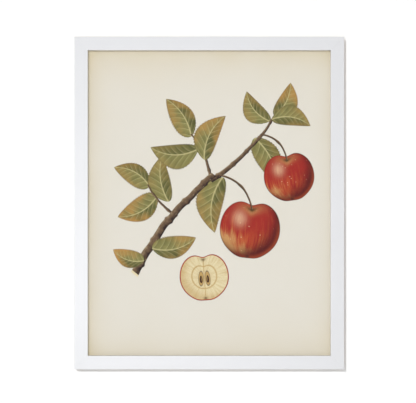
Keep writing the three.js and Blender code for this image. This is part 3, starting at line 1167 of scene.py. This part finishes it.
bumperPlan = {"round": 0.0016, "roundSteps": 8, "sides": 48}


def makeBumpers(material):
    plan = bumperPlan
    for side in ("left", "right"):
        low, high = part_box("bumper_" + side)
        middle = (low + high) / 2
        dome = addRod("rubber_bumper_" + side, (high.x - low.x) / 2, (middle.x, low.y, middle.z),
                      (middle.x, high.y, middle.z), plan["sides"])
        choose(dome, "EDGE", lambda a, b: min(a.y, b.y) > high.y - hair)
        bpy.ops.mesh.bevel(offset=plan["round"], segments=plan["roundSteps"], affect="EDGES")
        leaveEdit()
        smoothShade(dome)
        finishPiece(dome, material, "bumper", "frame", "bumper_" + side)


makeHanger()
makeHangerNails()
makeBumpers(makeRubberMaterial())
for name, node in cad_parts.items():
    if name.startswith("corner_nail_"):
        node.data.materials.clear()
        node.data.materials.append(steel)
print("fittings ready")


# Wall, floor, lights and camera.

stagePlan = {
    "reach": 8.0,
    "wallBehind": 0.0002,  # the hanger's back
    "wallTone": 0.97,
    "floor": -1.75,
    "floorReach": 60.0,
    "floorTone": 0.78,
}


def makeStage():
    plan = stagePlan
    deselectAll()
    bpy.ops.mesh.primitive_plane_add(size=2 * plan["reach"], rotation=(math.pi / 2, 0, 0),
                                     location=(0, plan["wallBehind"], plan["floor"] + plan["reach"]))
    wall = bpy.context.active_object
    wall.name = "wall"
    deselectAll()
    middle = plan["floorReach"] - plan["reach"]  # ends in front before the glass can mirror its edge
    bpy.ops.mesh.primitive_plane_add(size=2 * plan["floorReach"], location=(0, middle, plan["floor"]))
    floor = bpy.context.active_object
    floor.name = "floor"

    wallPaint, tree, surface, place = newMaterial("wall paint", Roughness=0.9)
    grain = noise(place, 300.0, 2.0)
    tone = plan["wallTone"] + (grain - 0.5) * 0.01
    plug(tree, surface.inputs["Base Color"], vector(tone, tone, tone))
    # the wall is only there from the front, so that the frame's back can be seen and lit
    see = tree.nodes.new("ShaderNodeBsdfTransparent")
    side = tree.nodes.new("ShaderNodeNewGeometry")
    either = tree.nodes.new("ShaderNodeMixShader")
    tree.links.new(side.outputs["Backfacing"], either.inputs[0])
    tree.links.new(surface.outputs[0], either.inputs[1])
    tree.links.new(see.outputs[0], either.inputs[2])
    tree.links.new(either.outputs[0], tree.nodes["Material Output"].inputs["Surface"])
    wall.data.materials.append(wallPaint)
    wall.visible_shadow = False

    floorPaint, tree, surface, place = newMaterial("pale floor", Roughness=0.7)
    tone = plan["floorTone"] + (noise(place, 3.0, 2.0) - 0.5) * 0.02
    plug(tree, surface.inputs["Base Color"], vector(tone, tone, tone))
    floor.data.materials.append(floorPaint)


lightPlan = {
    # place, size, watts
    "key": ((-1.5, -7.0, 1.56), 0.66, 226.0),
    "railFill": ((-0.194, -0.471, -0.377), 0.3, 0.6),  # reaches the rails alone
    "printFill": ((0, -3.0, -0.263), 0.3, 27.4),  # reaches the sheet alone
    "wallFill": ((-1.5, -7.0, 1.56), 0.66, 66.0),  # reaches the wall alone
    "rear": ((1.1, 2.2, 0.9), 0.9, 40.0),
    "rearFill": ((-1.8, 1.6, 0.2), 1.4, 16.0),
    "sky": 0.504,
    "skyAhead": 0.13,  # in the direction that the picture faces
    "aheadFrom": (0.86, 0.97),  # the darker part's rim, as cosines
}


def addLamp(name, place, width, watts, seen=True, lit=()):
    data = bpy.data.lights.new(name, "AREA")
    data.shape = "DISK"
    data.size = width
    data.energy = watts
    lamp = bpy.data.objects.new(name, data)
    scene.collection.objects.link(lamp)
    lamp.location = place
    lamp.visible_camera = seen
    lamp.visible_glossy = seen
    lamp.visible_transmission = seen  # a reflection in the glass counts as this
    lamp.rotation_euler = (frameCentre - Vector(place)).to_track_quat("-Z", "Y").to_euler()
    if lit:  # then it reaches these pieces alone
        reached = bpy.data.collections.new("lit by the " + name)
        for piece in lit:
            reached.objects.link(bpy.data.objects[piece])
        lamp.light_linking.receiver_collection = reached


def makeLights():
    plan = lightPlan
    rails = ["rail_" + side + "_moulding" for side in ("top", "right", "bottom", "left")]
    addLamp("key", *plan["key"], seen=False)
    addLamp("rail fill", *plan["railFill"], seen=False, lit=rails)
    addLamp("print fill", *plan["printFill"], seen=False, lit=["printed_sheet"])
    addLamp("wall fill", *plan["wallFill"], seen=False, lit=["wall"])
    addLamp("rear", *plan["rear"])
    addLamp("rear fill", *plan["rearFill"])
    # a white room that is darker behind the camera, so that the glass stays clear
    world = bpy.data.worlds.new("studio")
    world.use_nodes = True
    tree = world.node_tree
    direction = Field(tree, tree.nodes.new("ShaderNodeTexCoord").outputs["Generated"])
    y = axes(direction)[1]
    seen = Field(tree, tree.nodes.new("ShaderNodeLightPath").outputs["Is Camera Ray"])
    ahead = ramp(y * -1, *plan["aheadFrom"]) * (1 - seen)
    strength = plan["sky"] + (plan["skyAhead"] - plan["sky"]) * ahead
    plug(tree, tree.nodes["Background"].inputs["Strength"], strength)
    tree.nodes["Background"].inputs["Color"].default_value = (1, 1, 1, 1)
    scene.world = world
    scene.view_settings.view_transform = "Standard"


cameraPlan = {
    "lens": 120,
    "sensor": 36,
    "width": 0.6738,  # of the whole picture at the frame's front
    "pixels": 416,
    "aside": 1.25,  # how far right and below the middle the frame sits, in pixels
    "below": 1.5,
}


def makeCamera():
    plan = cameraPlan
    perPixel = plan["width"] / plan["pixels"]
    data = bpy.data.cameras.new("camera")
    data.lens = plan["lens"]
    data.sensor_width = plan["sensor"]
    camera = bpy.data.objects.new("camera", data)
    scene.collection.objects.link(camera)
    distance = plan["width"] * plan["lens"] / plan["sensor"]
    camera.location = (frameCentre.x - plan["aside"] * perPixel, frontY - distance,
                       frameCentre.z + plan["below"] * perPixel)
    camera.rotation_euler = (math.pi / 2, 0, 0)
    scene.camera = camera


makeStage()
makeLights()
makeCamera()
print("stage ready")
